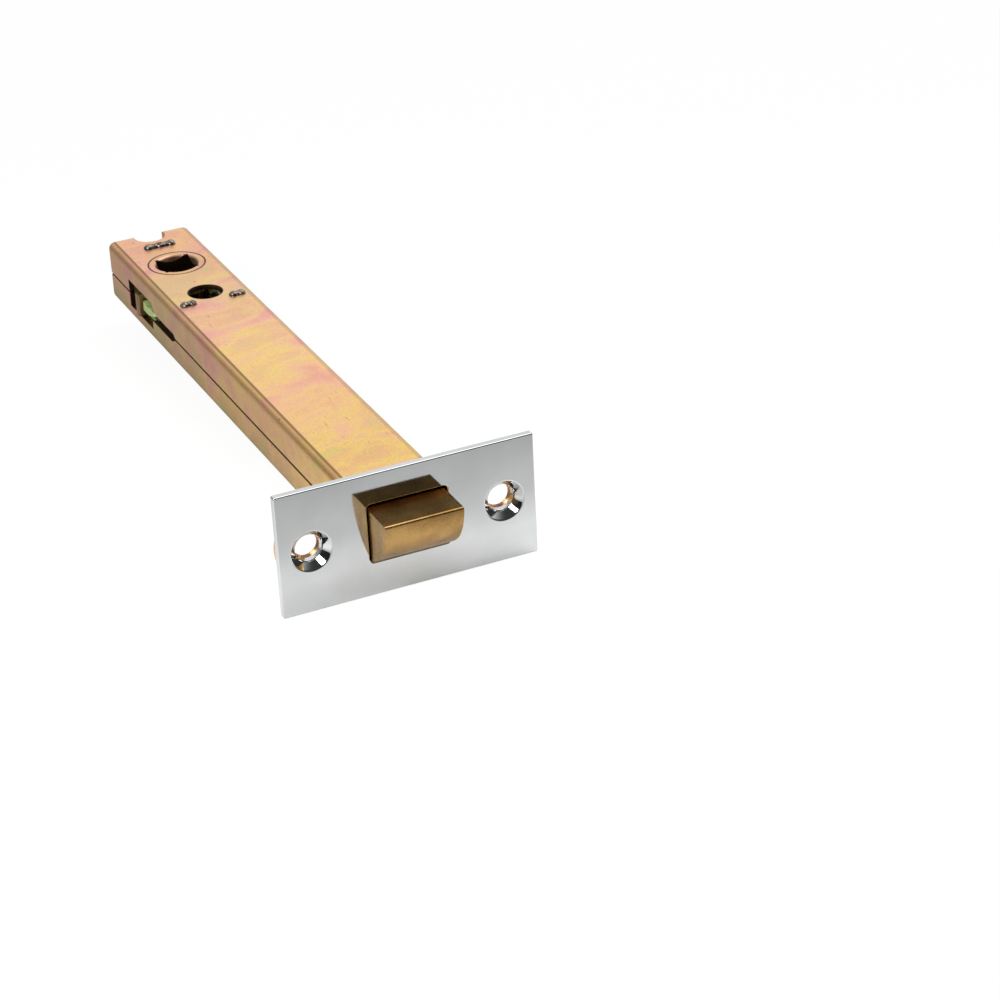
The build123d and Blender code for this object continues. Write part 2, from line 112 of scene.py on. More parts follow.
def linear(code: str) -> tuple[float, float, float, float]:
    """Turn an sRGB hex colour into linear RGBA.

    Args:
        code: The colour, such as "#C8A050".

    Returns:
        Red, green, blue and alpha, linear, from 0 to 1.
    """
    parts = [int(code[i:i + 2], 16) / 255 for i in (1, 3, 5)]
    return (*[p / 12.92 if p <= 0.04045 else ((p + 0.055) / 1.055) ** 2.4 for p in parts], 1.0)


def pick(piece: Piece) -> None:
    """Deselect everything, then select one piece and make it active."""
    bpy.ops.object.select_all(action="DESELECT")
    piece.select_set(True)
    bpy.context.view_layer.objects.active = piece


@contextmanager
def editing(piece: Piece) -> Iterator[None]:
    """Hold a piece in edit mode for the length of a block."""
    pick(piece)
    bpy.ops.object.mode_set(mode="EDIT")
    try:
        yield
    finally:
        bpy.ops.object.mode_set(mode="OBJECT")


def choose(piece: Piece, domain: Domain, test: Callable[[Any], bool]) -> None:
    """Select edges or faces in edit mode by a test on their place.

    Args:
        piece: The piece, in edit mode.
        domain: What to select.
        test: Gets an edge's two ends, or a face's centre.
    """
    bpy.ops.mesh.select_mode(type=domain.value)
    bpy.ops.mesh.select_all(action="DESELECT")
    bpy.ops.object.mode_set(mode="OBJECT")
    mesh = piece.data
    if domain is Domain.EDGE:
        found = [(edge, [mesh.vertices[end].co for end in edge.vertices]) for edge in mesh.edges]
    else:
        found = [(face, face.center) for face in mesh.polygons]
    for item, place in found:
        item.select = bool(test(place))
    bpy.ops.object.mode_set(mode="EDIT")


def modify(piece: Piece, kind: str, **settings: Any) -> None:
    """Add a modifier to a piece and apply it.

    Args:
        piece: The piece.
        kind: The modifier's type, such as "BEVEL".
        settings: Its properties.
    """
    pick(piece)
    bpy.ops.object.modifier_add(type=kind)
    modifier = piece.modifiers[-1]
    for key, value in settings.items():
        setattr(modifier, key, value)
    bpy.ops.object.modifier_apply(modifier=modifier.name)


def smooth(piece: Piece, degrees: float = 35.0) -> None:
    """Shade rounds smooth and keep edges and flats crisp.

    Args:
        piece: The piece.
        degrees: Edges that turn by more stay sharp.
    """
    pick(piece)
    bpy.ops.object.shade_smooth_by_angle(angle=math.radians(degrees))
    modify(piece, "WEIGHTED_NORMAL", keep_sharp=True, weight=100)


def settle(piece: Piece) -> None:
    """Put the piece's place, turn and scale into its mesh."""
    pick(piece)
    bpy.ops.object.transform_apply(location=True, rotation=True, scale=True)


@dataclass(frozen=True)
class Fade:
    """A level that goes from low to high, in either direction, while a reading goes from start to end."""

    start: float
    end: float
    low: float
    high: float
    soft: bool = True


@dataclass(frozen=True)
class Graph:
    """A node tree that is wired by calls."""

    tree: bpy.types.NodeTree

    def add(
        self, kind: str, settings: Optional[dict[Any, Any]] = None, links: Optional[dict[Any, Socket]] = None,
    ) -> Node:
        """Add a node with its settings and links.

        Args:
            kind: The node's type, such as "ShaderNodeMath".
            settings: Input values by name or index, properties by name, and a ramp's stops as (place, colour).
            links: Output sockets by the name or index of the input that they feed.

        Returns:
            The new node.
        """
        node = self.tree.nodes.new(kind)
        for key, value in (settings or {}).items():
            if key == "stops":
                elements = node.color_ramp.elements
                while len(elements) < len(value):
                    elements.new(1.0)
                for element, (place, colour) in zip(elements, value):
                    element.position = place
                    element.color = linear(colour)
            elif isinstance(key, int) or key in node.inputs:
                node.inputs[key].default_value = value
            else:
                setattr(node, key, value)
        for key, source in (links or {}).items():
            self.tree.links.new(source, node.inputs[key])
        return node

    def compute(self, operation: str, *terms: Any) -> Socket:
        """Work out one sum.

        Args:
            operation: The sum, such as "MULTIPLY".
            terms: Its terms in order, each a socket or a number.

        Returns:
            The result.
        """
        numbers = {i: term for i, term in enumerate(terms) if isinstance(term, (int, float))}
        sockets = {i: term for i, term in enumerate(terms) if i not in numbers}
        return self.add("ShaderNodeMath", {"operation": operation, **numbers}, sockets).outputs[0]

    def follow(self, reading: Socket, fade: Fade) -> Socket:
        """Turn a reading into a level.

        Args:
            reading: The reading, such as a coordinate or a noise.
            fade: How the level follows it.

        Returns:
            The level.
        """
        return self.add(
            "ShaderNodeMapRange",
            {"interpolation_type": "SMOOTHSTEP" if fade.soft else "LINEAR", "From Min": fade.start,
             "From Max": fade.end, "To Min": fade.low, "To Max": fade.high},
            {"Value": reading},
        ).outputs["Result"]

    def noise(
        self, where: Socket, size: float, detail: float, roughness: float = 0.5, distortion: float = 0.0,
    ) -> Socket:
        """Spread a noise over the surface.

        Args:
            where: The coordinates.
            size: How large its patches are.
            detail: How many finer noises are added.
            roughness: How strong those are.
            distortion: How far the patches are stirred.

        Returns:
            The noise, from 0 to 1.
        """
        return self.add(
            "ShaderNodeTexNoise",
            {"Scale": 1 / size, "Detail": detail, "Roughness": roughness, "Distortion": distortion},
            {"Vector": where},
        ).outputs["Fac"]

    def ramp(self, reading: Socket, stops: Stops) -> Socket:
        """Turn a reading into a colour.

        Args:
            reading: The reading, from 0 to 1.
            stops: The colours and their places on it.

        Returns:
            The colour.
        """
        return self.add("ShaderNodeValToRGB", {"stops": stops}, {"Fac": reading}).outputs["Color"]

    def blend(self, under: Socket, over: Socket, share: float, how: str = "MIX") -> Socket:
        """Blend two colours over the whole surface.

        Args:
            under: The first colour.
            over: The second colour.
            share: How much of the second one is taken.
            how: Blender's word for the way they blend.

        Returns:
            The blended colour.
        """
        return self.add(
            "ShaderNodeMix", {"data_type": "RGBA", "blend_type": how, 0: share}, {6: under, 7: over}).outputs[2]

    def lay(self, tone: Socket, factor: Socket, colour: str) -> Socket:
        """Lay one flat colour over a tone, by place.

        Args:
            tone: The tone.
            factor: How much of the colour covers it at each place.
            colour: The colour.

        Returns:
            The covered tone.
        """
        return self.add(
            "ShaderNodeMix", {"data_type": "RGBA", 7: linear(colour)}, {0: factor, 6: tone}).outputs[2]


def new_material(name: str, **surface: float) -> tuple[Material, Graph, Node, Socket]:
    """Start a material with one Principled shader.

    Args:
        name: The material's name.
        surface: Constant values for the shader's sockets of the same names.

    Returns:
        The material, its graph, its shader and its Object coordinates.
    """
    material = bpy.data.materials.new(name)
    material.use_nodes = True
    graph = Graph(material.node_tree)
    shader = material.node_tree.nodes["Principled BSDF"]
    for key, value in surface.items():
        shader.inputs[key].default_value = value
    return material, graph, shader, graph.add("ShaderNodeTexCoord").outputs["Object"]


def feed(
    graph: Graph, shader: Node, tone: Socket, grain: Socket, gloss: tuple[float, float], dents: tuple[float, float],
) -> None:
    """Give a shader its colour, and a roughness and dents that follow its grain.

    Args:
        graph: The material's graph.
        shader: Its shader.
        tone: The colour.
        grain: The noise of the surface.
        gloss: The roughness where the grain is low, and where it is high.
        dents: The strength and the depth of the dents.
    """
    rough = graph.follow(grain, Fade(*GRAIN_SPAN, *gloss, soft=False))
    bump = graph.add("ShaderNodeBump", {"Strength": dents[0], "Distance": dents[1]}, {"Height": grain})
    for source, name in ((tone, "Base Color"), (rough, "Roughness"), (bump.outputs["Normal"], "Normal")):
        graph.tree.links.new(source, shader.inputs[name])


@dataclass
class Ground:
    """What the layers of a finish go by: its graph, Object coordinates and the film's noise.

    The coordinates are also there one by one, and unsigned as across and up.
    """

    graph: Graph
    place: Socket
    film: Socket
    x: Socket = field(init=False)
    y: Socket = field(init=False)
    z: Socket = field(init=False)
    across: Socket = field(init=False)
    up: Socket = field(init=False)

    def __post_init__(self) -> None:
        """Take the coordinates apart."""
        self.x, self.y, self.z = self.graph.add("ShaderNodeSeparateXYZ", {}, {"Vector": self.place}).outputs
        self.across = self.graph.compute("ABSOLUTE", self.y)
        self.up = self.graph.compute("ABSOLUTE", self.z)


class Layer(Protocol):
    """A colour that covers a finish in places."""

    tone: str

    def shade(self, ground: Ground) -> Socket:
        """Find how much of the finish it covers at each place."""


@dataclass(frozen=True)
class Green:
    """The olive green of a thicker film, low on the sides and on the follower's arms, in patches."""

    tone: str = "#B3AC66"
    depth: float = 0.85
    bottom: float = -0.0068
    top: float = -0.0004
    forward: Fade = Fade(TAIL + 0.004, TAIL + 0.036, 1.0, 0.5)
    patches: Fade = Fade(0.34, 0.60, 0.35, 1.0)

    def shade(self, ground: Ground) -> Socket:
        """Find how much of the finish it covers at each place."""
        graph = ground.graph
        down = graph.follow(ground.z, Fade(self.bottom, self.top, self.depth, 0.0))
        rear = graph.follow(ground.x, self.forward)
        patchy = graph.follow(ground.film, self.patches)
        return graph.compute("MULTIPLY", graph.compute("MULTIPLY", down, rear), patchy)


@dataclass(frozen=True)
class Fold:
    """The case's rounded folds, with painted shade on them that is weaker on the right."""

    half_width: float = 0.010
    half_height: float = 0.00715
    radius: float = 0.0016
    shade_by_side: Fade = Fade(-0.003, 0.003, 1.0, 0.25)

    def weigh(self, ground: Ground, factor: Socket) -> Socket:
        """Make a factor as strong as the fold's side asks for."""
        return ground.graph.compute("MULTIPLY", factor, ground.graph.follow(ground.y, self.shade_by_side))


@dataclass(frozen=True)
class FoldShadeLine(Fold):
    """A line of painted shade where a fold runs into the flat. Its place is given in fold radii."""

    tone: str = "#5F4A28"
    inward: float = 0.86
    down: float = 0.5
    width: Fade = Fade(0.0001, 0.0005, 0.82, 0.0)

    def shade(self, ground: Ground) -> Socket:
        """Find how much of the finish it covers at each place."""
        graph = ground.graph
        away = graph.compute("ABSOLUTE", graph.compute(
            "SUBTRACT", ground.across, self.half_width - self.inward * self.radius))
        outer = graph.compute("GREATER_THAN", ground.up, self.half_height - self.down * self.radius)
        return self.weigh(ground, graph.compute("MULTIPLY", graph.follow(away, self.width), outer))


@dataclass(frozen=True)
class FoldShadeBand(Fold):
    """A brown band of painted shade round a fold. Its inner and outer limits are given in fold radii."""

    tone: str = "#B98755"
    inner: float = 1.25
    outer: float = 0.6
    depth: float = 0.42

    def shade(self, ground: Ground) -> Socket:
        """Find how much of the finish it covers at each place."""
        corner = self.half_width + self.half_height
        limits = (corner - self.inner * self.radius, corner - self.outer * self.radius)
        total = ground.graph.compute("ADD", ground.across, ground.up)
        return self.weigh(ground, ground.graph.follow(total, Fade(*limits, 0.0, self.depth)))


@dataclass(frozen=True)
class SeamShade:
    """Painted shade in the gap between the upper and the lower shell."""

    tone: str = "#2E2116"
    height: float = -0.0006
    width: Fade = Fade(0.00012, 0.00034, 0.9, 0.0)

    def shade(self, ground: Ground) -> Socket:
        """Find how much of the finish it covers at each place."""
        graph = ground.graph
        away = graph.compute("ABSOLUTE", graph.compute("SUBTRACT", ground.z, self.height))
        return graph.follow(away, self.width)


@dataclass(frozen=True)
class HollowShade:
    """Painted shade on the inside of the latch, up to just short of the tail's end faces."""

    half_width: float = 0.00990
    half_height: float = 0.0053
    depth: float = 0.9
    lip: tuple[float, float] = (TAIL + 0.0004, TAIL + 0.0014)
    tone: str = "#2B1E12"

    def shade(self, ground: Ground) -> Socket:
        """Find how much of the finish it covers at each place."""
        graph = ground.graph
        between = graph.compute("LESS_THAN", ground.across, self.half_width)
        level = graph.compute("LESS_THAN", ground.up, self.half_height)
        deep = graph.follow(ground.x, Fade(*self.lip, 0.0, self.depth))
        return graph.compute("MULTIPLY", graph.compute("MULTIPLY", between, level), deep)


@dataclass(frozen=True)
class Marks:
    """Small specks and hairline scratches."""

    tone: str = "#7D5335"
    speck_spacing: float = 0.007
    speck: Fade = Fade(0.022, 0.05, 0.75, 0.0, soft=False)
    hair_turn: Triple = (0.2, 0.1, math.radians(24.0))
    hair_scale: Triple = (260.0, 1900.0, 1900.0)
    hair: Fade = Fade(0.72, 0.78, 0.0, 0.3, soft=False)

    def shade(self, ground: Ground) -> Socket:
        """Find how much of the finish it covers at each place."""
        graph = ground.graph
        cells = graph.add(
            "ShaderNodeTexVoronoi", {"Scale": 1 / self.speck_spacing, "Randomness": 1.0}, {"Vector": ground.place},
        ).outputs["Distance"]
        lines = graph.add(
            "ShaderNodeMapping", {"Rotation": self.hair_turn, "Scale": self.hair_scale}, {"Vector": ground.place},
        ).outputs["Vector"]
        hairs = graph.noise(lines, 1.0, 1.0, 0.4)
        return graph.compute("MAXIMUM", graph.follow(cells, self.speck), graph.follow(hairs, self.hair))


@dataclass(frozen=True)
class BoreShade:
    """A bore along Z with a dark gap or greasy ring round it.

    Its walls carry painted shade up to a level under the face.
    """

    x: float
    ring: float
    radius: float = 0.0
    top: float = 0.00712
    fade: float = 0.0005
    line: float = 0.00016
    wall_shade: float = 0.93
    ring_shade: float = 0.8
    tone: str = "#2A1A10"

    def shade(self, ground: Ground) -> Socket:
        """Find how much of the finish it covers at each place."""
        graph = ground.graph
        flat = graph.add("ShaderNodeCombineXYZ", {}, {"X": ground.x, "Y": ground.y}).outputs[0]
        reach = graph.add(
            "ShaderNodeVectorMath", {"operation": "DISTANCE", 1: (self.x, 0.0, 0.0)}, {0: flat}).outputs["Value"]
        ring = graph.compute("COMPARE", reach, self.ring, self.line)
        near = graph.compute("LESS_THAN", reach, self.radius)
        below = graph.follow(ground.up, Fade(self.top - self.fade, self.top, self.wall_shade, 0.0))
        walls = graph.compute("MULTIPLY", near, below)
        return graph.compute("MAXIMUM", graph.compute("MULTIPLY", ring, self.ring_shade), walls)


class Finish(Protocol):
    """A surface finish that can be put on a piece."""

    slot: str

    def build(self) -> Material:
        """Make the material, on Object coordinates."""


@dataclass(frozen=True)
class YellowPassivate:
    """Cold-rolled steel sheet, zinc plated and dipped in yellow chromate.

    The thin chromate film gives a satin gold that drifts to pink, peach and green in slanting clouds, with the
    sheet's grain under it. Its layers add the green and the marks of one piece, and painted shade on its folds,
    in its gaps and hollows and round its bores.
    """

    layers: tuple[Layer, ...]
    slot: str = "passivated_steel"
    title: str = "yellow_passivated_zinc"
    metallic: float = 0.92
    roughness: float = 0.34
    length: float = 0.150
    zones: Stops = (
        (0.00, "#F9BC9A"), (0.06, "#F3AEA4"), (0.15, "#ECAC9C"), (0.22, "#EDC59B"), (0.30, "#EACC9C"),
        (0.36, "#F8BBA6"), (0.45, "#FFCBA8"), (0.53, "#FFDB8C"), (0.60, "#FFCF94"), (0.70, "#FCC19C"),
        (0.80, "#F9CC8C"), (0.90, "#F4CE78"), (1.00, "#EDB27E"),
    )
    cloud_size: float = 0.015
    cloud_reach: float = 0.22
    slant: float = 22.0
    stretch: Triple = (0.76, 1.32, 1.0)
    tints: Stops = (
        (0.32, "#F69C9E"), (0.43, "#FFC6A0"), (0.51, "#FFDC7C"), (0.60, "#F8C090"), (0.72, "#D6D878"),
    )
    film_size: float = 0.012
    film_share: float = 0.48
    grain_size: float = 0.0006
    grain_light: Fade = Fade(0.25, 0.75, 0.86, 1.08, soft=False)
    dents: tuple[float, float] = (0.12, 0.00005)

    def build(self) -> Material:
        """Make the material, on Object coordinates."""
        material, graph, shader, place = new_material(self.title, Metallic=self.metallic)
        slanting = graph.add(
            "ShaderNodeMapping",
            {"vector_type": "TEXTURE", "Rotation": (0.0, 0.0, math.radians(self.slant)), "Scale": self.stretch},
            {"Vector": place},
        ).outputs["Vector"]
        cloud = graph.noise(slanting, self.cloud_size, detail=5.0, roughness=0.55, distortion=0.8)
        film = graph.noise(slanting, self.film_size, detail=3.0, distortion=0.5)
        grain = graph.noise(place, self.grain_size, detail=4.0, roughness=0.6)
        ground = Ground(graph, place, film)
        along = graph.add(
            "ShaderNodeMapRange", {"From Min": TAIL, "From Max": TAIL + self.length, "clamp": False},
            {"Value": ground.x},
        ).outputs["Result"]
        drift = graph.compute("MULTIPLY_ADD", cloud, self.cloud_reach * 2, -self.cloud_reach)
        tone = graph.ramp(graph.compute("ADD", along, drift), self.zones)
        # Interference film: pink and green tints between the gold
        tone = graph.blend(tone, graph.ramp(film, self.tints), self.film_share)
        # Fine grain of the sheet, drawn coarser than the real 0.05 mm so that it shows
        tone = graph.blend(tone, graph.follow(grain, self.grain_light), 1.0, "MULTIPLY")
        # Layers lay the green and the marks, and painted shade on folds, gaps, hollows and bores
        for layer in self.layers:
            tone = graph.lay(tone, layer.shade(ground), layer.tone)
        feed(graph, shader, tone, grain, tuple(self.roughness + step for step in GLOSS_SPREAD), self.dents)
        return material


@dataclass(frozen=True)
class PolishedChrome:
    """Pressed steel, nickel and chromium plated, then buffed.

    The plate mirrors what stands before it, a little hazy, with the faint waviness of buffing.
    """

    slot: str = "chromed_steel"
    title: str = "polished_chrome"
    tones: Stops = ((0.35, "#E2E4E4"), (0.7, "#D9DCDC"))
    wave_size: float = 0.009
    gloss: tuple[float, float] = (0.05, 0.11)
    dents: tuple[float, float] = (0.05, 0.0001)

    def build(self) -> Material:
        """Make the material, on Object coordinates."""
        material, graph, shader, place = new_material(self.title, Metallic=1.0)
        haze = graph.noise(place, self.wave_size, detail=3.0)
        feed(graph, shader, graph.ramp(haze, self.tones), haze, self.gloss, self.dents)
        return material


@dataclass(frozen=True)
class SatinBrass:
    """Extruded brass bar, milled and tumbled.

    A soft golden sheen with the fine speckle of tumbling and a slightly darker, browner tarnish in clouds.
    """

    slot: str = "brass"
    title: str = "satin_brass"
    tones: Stops = ((0.45, "#936E3C"), (0.95, "#D2A96A"))
    speckle_size: float = 0.00024
    speckle_share: float = 0.55
    cloud_size: float = 0.006
    gloss: tuple[float, float] = (0.24, 0.38)
    dents: tuple[float, float] = (0.18, 0.00004)

    def build(self) -> Material:
        """Make the material, on Object coordinates."""
        material, graph, shader, place = new_material(self.title, Metallic=1.0)
        speckle = graph.noise(place, self.speckle_size, detail=3.0, roughness=0.6)
        cloud = graph.noise(place, self.cloud_size, detail=3.0)
        mixed = graph.compute("MULTIPLY_ADD", speckle, self.speckle_share, cloud)
        feed(graph, shader, graph.ramp(mixed, self.tones), speckle, self.gloss, self.dents)
        return material


@dataclass(frozen=True)
class BareMetal:
    """Struck, drawn or barrelled metal, in one tone mottled with a darker stain."""

    slot: str
    title: str
    tone: str
    stain: str
    roughness: float
    metallic: float = 1.0
    mottle_size: float = 0.0009
    mottle: tuple[float, float] = (0.36, 0.62)
    dents: tuple[float, float] = (0.2, 0.00005)

    def build(self) -> Material:
        """Make the material, on Object coordinates."""
        material, graph, shader, place = new_material(self.title, Metallic=self.metallic)
        mottle = graph.noise(place, self.mottle_size, detail=4.0, roughness=0.6)
        tone = graph.ramp(mottle, tuple(zip(self.mottle, (self.stain, self.tone))))
        feed(graph, shader, tone, mottle, tuple(self.roughness + step for step in GLOSS_SPREAD), self.dents)
        return material


# The case: green and marks, with painted shade on the folds, in the seam, inside and round the two bores
ZINC = YellowPassivate(layers=(
    Green(), FoldShadeLine(), FoldShadeBand(), SeamShade(), HollowShade(), Marks(),
    BoreShade(x=-0.133, ring=0.0067), BoreShade(x=-0.114, ring=0.0040, radius=0.0041, top=0.00705)))
PLATE_ZINC = YellowPassivate(title="plate_passivated_zinc", layers=(Green(), Marks()))
# The follower: painted shade over its middle and in its bore
FOLLOWER_ZINC = YellowPassivate(
    slot="follower_metal", title="follower_passivated_zinc", layers=(
        Green(tone="#7E8044", depth=0.95, top=0.012), HollowShade(half_width=0.0108, half_height=0.0052, depth=0.3),
        Marks(), BoreShade(x=-0.133, ring=0.00656, radius=0.0059)))
# The inner parts: painted shade darkens them all over
INNER_ZINC = YellowPassivate(
    title="inner_passivated_zinc_in_painted_shade", roughness=0.4,
    layers=(Green(), HollowShade(half_width=0.05, half_height=0.05, depth=0.45), Marks()))
CHROME = PolishedChrome()
BRASS = SatinBrass()
STRUCK_STEEL = BareMetal("bare_steel", "struck_steel", "#A29A90", "#46382C", 0.34)
PIN_STEEL = BareMetal("bare_steel", "ground_pin_steel", "#A9A8A4", "#7C7874", 0.22)
GREEN_ZINC = BareMetal("zinc_green", "green_tinted_zinc", "#E2F2A6", "#BFD88A", 0.40, metallic=0.35)
DRAWN_WIRE = BareMetal("spring_steel", "drawn_spring_wire", "#A8A8A6", "#7E7E7C", 0.28)


@dataclass
class Workbench:
    """What the sub-assemblies share: the materials made so far, and how a piece is finished and fitted."""

    materials: dict[str, Material] = field(default_factory=dict)
    weld: float = 2e-6
    flat_angle: float = math.radians(0.5)
    edge_angle: float = math.radians(38.0)
    edge_faces: int = 2

    def dress(self, piece: Piece, finish: Finish) -> None:
        """Give a new piece or a CAD node its finish, in all its material slots.

        Args:
            piece: The piece.
            finish: The finish.
        """
        key = repr(finish)
        if key not in self.materials:
            self.materials[key] = finish.build()
        if not piece.material_slots:
            piece.data.materials.append(self.materials[key])
        for slot in piece.material_slots:
            slot.material = self.materials[key]

    def fit(self, piece: Piece, body: str, finish: Finish, *nodes: str) -> None:
        """Dress a new piece, put it on its body and let it stand for its CAD nodes.

        Args:
            piece: The finished piece.
            body: The body that it rides on.
            finish: Its finish.
            nodes: The CAD nodes that it replaces.
        """
        self.dress(piece, finish)
        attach(piece, body)
        if nodes:
            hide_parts(*nodes)
        log.info("%s: %d faces on %s", piece.name, len(piece.data.polygons), body)

    def finish_node(self, node: str, finish: Finish) -> None:
        """Give a CAD node that keeps its own mesh a better material.

        Args:
            node: The node.
            finish: Its finish.
        """
        self.dress(frame["nodes"][node], finish)
        log.info("%s keeps its solid", node)

    def refine(self, node: str, body: str, finish: Finish, edge: float) -> None:
        """Copy a CAD node, merge it, break its edges, shade its rounds smooth and let it stand for the node.

        Args:
            node: The node.
            body: The body that it rides on.
            finish: Its finish.
            edge: How far its sharp edges are broken.
        """
        piece = bpy.data.objects.new(f"{node}_finished", frame["nodes"][node].data.copy())
        bpy.context.scene.collection.objects.link(piece)
        with editing(piece):
            bpy.ops.mesh.select_all(action="SELECT")
            bpy.ops.mesh.remove_doubles(threshold=self.weld)
            bpy.ops.mesh.dissolve_limited(angle_limit=self.flat_angle)
        modify(
            piece, "BEVEL", width=edge, segments=self.edge_faces, limit_method="ANGLE",
            angle_limit=self.edge_angle, use_clamp_overlap=True, miter_outer="MITER_ARC",
        )
        smooth(piece)
        self.fit(piece, body, finish, node)


@dataclass
class Forend:
    """The chromed forend with its two pressed screw dishes, and the backing plate behind it.

    The face is drawn in millimetres and brought to metres once.
    """

    bench: Workbench
    thickness: float = 1.5
    corner: float = 0.4
    corner_steps: int = 6
    opening_width: float = 17.6
    opening_height: float = 13.0
    opening_rise: float = 0.35
    opening_corner: float = 1.0
    dish_depth: float = 1.75
    dish_sheet: float = 1.2
    dish_steps: int = 72
    dish_seat: float = 0.25
    rim_radius: float = 4.4
    rim_round: float = 0.6
    edge_round: float = 0.28
    edge_steps: int = 5
    shade_degrees: float = 40.0
    touch: float = 0.001

    def build(self) -> None:
        """Build and dress both plates."""
        self._face()
        self.bench.refine("inner_forend", "case", PLATE_ZINC, SHEET_EDGE)

    def _face(self) -> None:
        """Press the chromed plate: walls and dishes drawn ring by ring, then the front and back faces filled."""
        low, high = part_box("forend_plate")
        screws = next(m for m in frame["record"]["mounts"] if m["name"] == "forend_screws")["dims"]
        half_pitch = screws["spacing_x_mm"] / 2
        bpy.ops.object.select_all(action="DESELECT")
        bpy.ops.mesh.primitive_plane_add(size=1.0, rotation=UPRIGHT)
        plate = bpy.context.active_object
        plate.name = "forend_face"
        settle(plate)
        with editing(plate):
            self._wall(plate, (high.y - low.y) / MM / 2, (high.z - low.z) / MM / 2, 0.0, self.corner, -1)
            bpy.ops.mesh.primitive_plane_add(size=1.0, location=(0.0, 0.0, self.opening_rise), rotation=UPRIGHT)
            self._wall(
                plate, self.opening_width / 2, self.opening_height / 2, self.opening_rise, self.opening_corner, 1)
            for side in Side:
                self._dish(side.value * half_pitch, screws["hole_r_mm"])
            for level in (0.0, -self.thickness):
                choose(plate, Domain.EDGE, lambda ends: all(abs(p.x - level) < self.touch for p in ends))
                bpy.ops.mesh.fill(use_beauty=True)
            choose(plate, Domain.FACE, lambda centre: self._over_hole(centre, half_pitch))
            bpy.ops.mesh.delete(type="FACE")
            bpy.ops.mesh.select_all(action="SELECT")
            bpy.ops.mesh.normals_make_consistent(inside=False)
        plate.scale = (MM, MM, MM)
        settle(plate)
        smooth(plate, self.shade_degrees)
        self.bench.fit(plate, "case", CHROME, "forend_plate")

    def _over_hole(self, centre: Vector, half_pitch: float) -> bool:
        """Tell if a face closes a screw hole or the opening at the back.

        Args:
            centre: The face's centre.
            half_pitch: How far each dish stands from the middle.

        Returns:
            Whether the face has to go.
        """
        if abs(centre.x + self.thickness) > self.touch:
            return False
        in_dish = math.hypot(abs(centre.y) - half_pitch, centre.z) < self.rim_radius
        in_opening = abs(centre.y) < self.opening_width / 2 and abs(
            centre.z - self.opening_rise) < self.opening_height / 2
        return in_dish or in_opening

    def _wall(self, plate: Piece, half_y: float, half_z: float, rise: float, corner: float, inward: int) -> None:
        """Turn the selected plane into a rounded outline and draw its wall back from a rounded front edge.

        Args:
            plate: The plate, in edit mode.
            half_y: Half of the wall's length.
            half_z: Half of its width.
            rise: How far its centre lies above the axis.
            corner: Its corner radius.
            inward: -1 where the front edge lies inside the wall, 1 where it lies outside.
        """
        turn = self.edge_round
        steps = [math.pi / 2 * step / self.edge_steps for step in range(self.edge_steps + 1)]
        rings = [(turn * (math.cos(a) - 1.0), inward * turn * (1.0 - math.sin(a))) for a in steps]
        now = (half_y + rings[0][1], half_z + rings[0][1])
        bpy.ops.transform.resize(value=(1.0, 2 * now[0], 2 * now[1]), center_override=(0.0, 0.0, rise))
        bpy.ops.mesh.bevel(offset=corner, segments=self.corner_steps, affect="VERTICES")
        bpy.ops.mesh.delete(type="ONLY_FACE")
        # Deleting the face drops the selection, so its outline is chosen again by place
        reach_y, reach_z = now[0] + self.touch, now[1] + self.touch
        choose(plate, Domain.EDGE, lambda ends: all(
            abs(p.x) < self.touch and abs(p.y) < reach_y and abs(p.z - rise) < reach_z for p in ends))
        place = 0.0
        for x, offset in (*rings[1:], (-self.thickness, 0.0)):
            goal = (half_y + offset, half_z + offset)
            bpy.ops.mesh.extrude_edges_move(TRANSFORM_OT_translate={"value": (x - place, 0.0, 0.0)})
            bpy.ops.transform.resize(
                value=(1.0, goal[0] / now[0], goal[1] / now[1]), center_override=(x, 0.0, rise))
            place, now = x, goal

    def _dish(self, place: float, hole_radius: float) -> None:
        """Draw one screw dish down from its rolled rim to the back of the plate.

        Args:
            place: The dish's Y.
            hole_radius: The radius of the screw hole.
        """
        slant = (self.rim_radius - hole_radius) / self.dish_depth
        fall = math.pi / 2 - math.atan(slant)
        reach = self.rim_round * math.tan(fall / 2)
        wall = self.dish_sheet * math.hypot(1.0, slant)
        low_x = -self.dish_depth
        lip_x = low_x - self.dish_sheet
        start = self.rim_radius + reach
        profile = [
            (self.rim_round * (math.cos(a) - 1.0), start - self.rim_round * math.sin(a))
            for a in (fall * step / self.edge_steps for step in range(1, self.edge_steps + 1))
        ]
        profile += [
            (low_x + self.edge_round, hole_radius + slant * self.edge_round),
            (low_x, hole_radius + slant * self.edge_round * self.dish_seat),
            (low_x - self.edge_round, hole_radius),
            (lip_x, hole_radius),
            (lip_x, self.rim_radius + slant * lip_x + wall),
            (-self.thickness, self.rim_radius - slant * self.thickness + wall),
        ]
        bpy.ops.mesh.primitive_circle_add(
            vertices=self.dish_steps, radius=start, fill_type="NOTHING", location=(0.0, place, 0.0),
            rotation=UPRIGHT)
        x, radius = 0.0, start
        for next_x, next_radius in profile:
            bpy.ops.mesh.extrude_edges_move(TRANSFORM_OT_translate={"value": (next_x - x, 0.0, 0.0)})
            share = next_radius / radius
            bpy.ops.transform.resize(value=(1.0, share, share), center_override=(next_x, place, 0.0))
            x, radius = next_x, next_radius


@dataclass(frozen=True)
class Beads:
    """The beads of one staked head: how many, how far apart and how large."""

    count: int
    pitch: float
    radius: float


